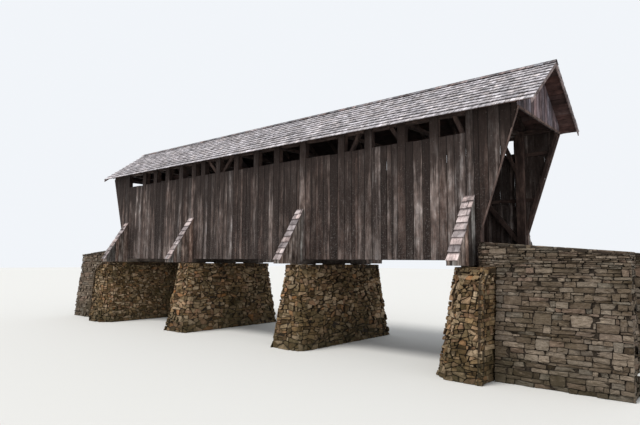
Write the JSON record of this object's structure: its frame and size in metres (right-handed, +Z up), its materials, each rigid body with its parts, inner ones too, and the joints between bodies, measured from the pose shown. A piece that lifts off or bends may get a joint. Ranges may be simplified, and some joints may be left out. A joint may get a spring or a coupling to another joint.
{
  "type": "covered bridge",
  "caption": "Narrow covered timber bridge with boarded sides, slanted portals, boxed buttresses and a shingled gable roof, on rubble stone piers, abutments and wing walls.",
  "frame": {"origin": "on the stream bed under the middle of the bridge", "axes": "+X along the road towards the right-hand portal, +Y across the road towards the far side, +Z up"},
  "size_m": [22.8, 5.8, 7.7822],
  "materials": {
    "rubble_stone": "rough rubble fieldstone in dark joints",
    "ledge_stone": "rough flat stones laid dry",
    "floor_timber": "rough sawn dark timber",
    "deck_planks": "worn sawn planks",
    "frame_timber": "rough sawn reddish dark timber",
    "weathered_boards": "weathered unpainted boards",
    "gable_boards": "weathered unpainted boards",
    "trim_boards": "weathered reddish boards",
    "roof_timber": "sawn reddish timber",
    "roof_shingles": "weathered split wood shingles",
    "buttress_shingles": "pale weathered wood shingles"
  },
  "bodies": {
    "root": {"abutment_left": "rubble_stone", "abutment_right": "rubble_stone", "barge_boards_left": "trim_boards", "barge_boards_right": "trim_boards", "bearing_stones": "ledge_stone", "buttress_covers_far": "buttress_shingles", "buttress_covers_near": "buttress_shingles", "buttress_struts": "floor_timber", "buttresses_far": "weathered_boards", "buttresses_near": "weathered_boards", "deck": "deck_planks", "diagonals_far": "frame_timber", "diagonals_near": "frame_timber", "gable_left": "gable_boards", "gable_right": "gable_boards", "girts_far": "frame_timber", "girts_near": "frame_timber", "outrigger_beams": "floor_timber", "pier_left": "rubble_stone", "pier_right": "rubble_stone", "portal_jambs_far": "frame_timber", "portal_jambs_near": "frame_timber", "portal_trim_left": "trim_boards", "portal_trim_right": "trim_boards", "posts_far": "frame_timber", "posts_near": "frame_timber", "rafters_far": "roof_timber", "rafters_near": "roof_timber", "ridge_board": "roof_timber", "ridge_cap": "roof_shingles", "roof_boards_far": "roof_timber", "roof_boards_near": "roof_timber", "shingles_far": "roof_shingles", "shingles_near": "roof_shingles", "siding_far": "weathered_boards", "siding_near": "weathered_boards", "sill_far": "frame_timber", "sill_near": "frame_timber", "stringers": "floor_timber", "tie_beams": "frame_timber", "top_plate_far": "frame_timber", "top_plate_near": "frame_timber", "wing_wall_far_left": "ledge_stone", "wing_wall_far_right": "ledge_stone", "wing_wall_near_left": "ledge_stone", "wing_wall_near_right": "ledge_stone"}
  },
  "joints": []
}
